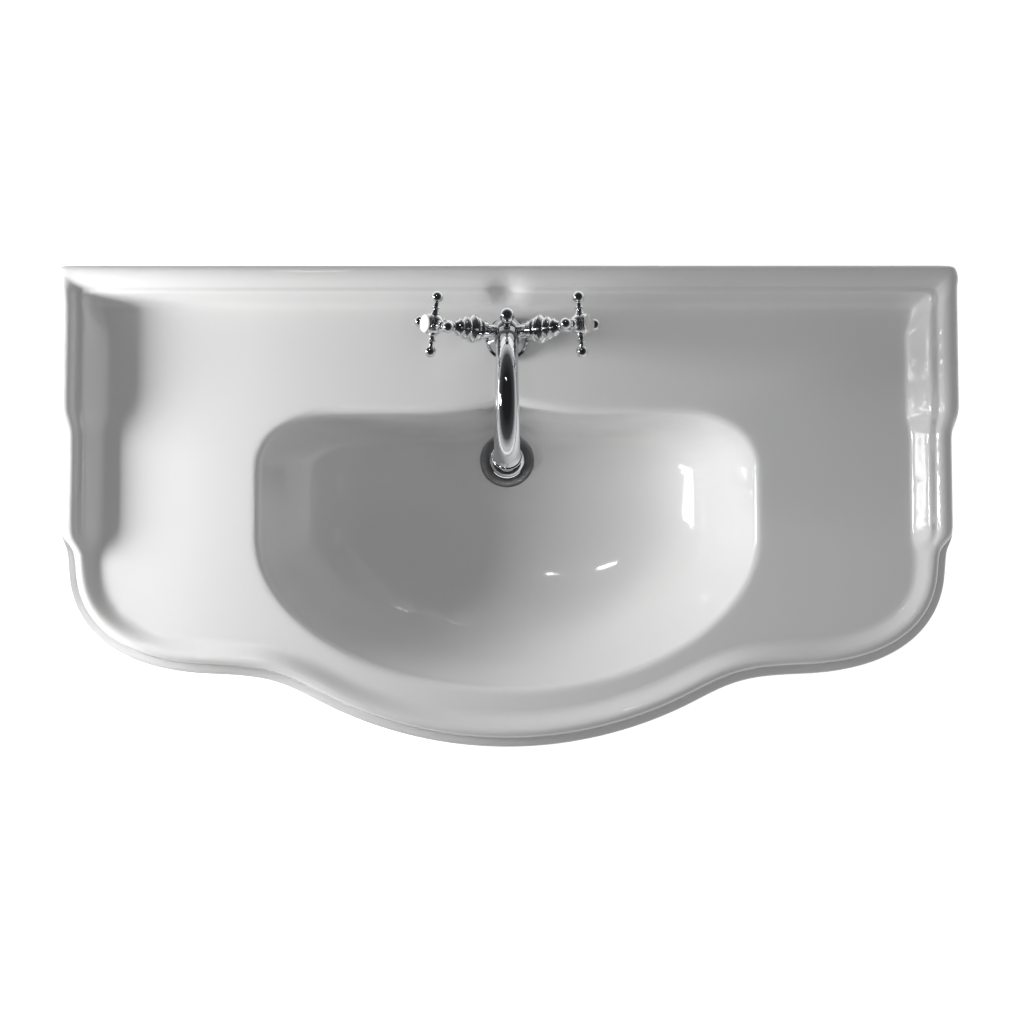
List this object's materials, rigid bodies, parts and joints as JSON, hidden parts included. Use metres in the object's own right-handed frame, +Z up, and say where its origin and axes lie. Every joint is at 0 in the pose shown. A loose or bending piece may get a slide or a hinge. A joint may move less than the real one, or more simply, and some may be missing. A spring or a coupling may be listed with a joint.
{
  "type": "washbasin",
  "caption": "Wide wall-hung ceramic washbasin with a bowed moulded front, a raised back and side edge, a cross-handle mixer tap with an arched spout and a pop-up waste.",
  "frame": {"origin": "on the wall plane, midway between the two wall holes", "axes": "+X to the right seen from the front, +Y into the wall, +Z up"},
  "size_m": [1, 0.5248, 0.3895],
  "materials": {
    "glaze": "glossy white",
    "index_glaze": "glossy off-white",
    "chrome": "polished",
    "brass": "turned",
    "steel": "plain",
    "rubber": "moulded",
    "plastic": "moulded"
  },
  "bodies": {
    "fixed": {"basin": "glaze", "tap_body": "chrome", "left_bonnet": "chrome", "right_bonnet": "chrome", "spout": "chrome", "aerator_sleeve": "chrome", "waste_flange": "chrome", "waste_body": "chrome", "pivot_nut": "chrome", "left_valve": "chrome", "right_valve": "chrome", "fixing_stud": "steel", "clamp_plate": "steel", "fixing_nut": "steel", "base_gasket": "rubber", "rubber_washer": "rubber", "spout_seal": "rubber", "upper_waste_seal": "rubber", "lower_waste_seal": "rubber", "pivot_seal": "rubber", "aerator_insert": "plastic"},
    "left_handle": {"left_cross_handle": "chrome", "left_spindle": "brass", "left_index_cap": "index_glaze", "left_handle_screw": "steel"},
    "right_handle": {"right_cross_handle": "chrome", "right_spindle": "brass", "right_index_cap": "index_glaze", "right_handle_screw": "steel"},
    "lift": {"lift_knob": "chrome", "lift_rod": "chrome", "link_strap": "steel", "strap_screw": "steel"},
    "lever": {"pivot_rod": "steel"},
    "plug": {"plug": "chrome", "plug_seal": "rubber", "plug_stem": "brass"}
  },
  "joints": [
    {"name": "left_turn", "type": "hinge", "parent": "fixed", "child": "left_handle", "pos_m": [0, -0.077, 0.146], "axis": [-0.8192, 0, 0.5736], "range_deg": [0, 90]},
    {"name": "right_turn", "type": "hinge", "parent": "fixed", "child": "right_handle", "pos_m": [0, -0.077, 0.146], "axis": [0.8192, 0, 0.5736], "range_deg": [-90, 0]},
    {"name": "lift_slide", "type": "slide", "parent": "fixed", "child": "lift", "axis": [0, 0, 1], "range_m": [0, 0.02708]},
    {"name": "lever_tilt", "type": "hinge", "parent": "fixed", "child": "lever", "pos_m": [0, -0.167, -0.078], "axis": [1, 0, 0], "range_deg": [0, 15.2]},
    {"name": "plug_slide", "type": "slide", "parent": "fixed", "child": "plug", "axis": [0, 0, 1], "range_m": [-0.00881, 0]}
  ],
  "couplings": [
    {"joint": "lever_tilt", "follows": "lift_slide", "rad_per_m": 9.794},
    {"joint": "plug_slide", "follows": "lift_slide", "ratio": -0.32512}
  ]
}
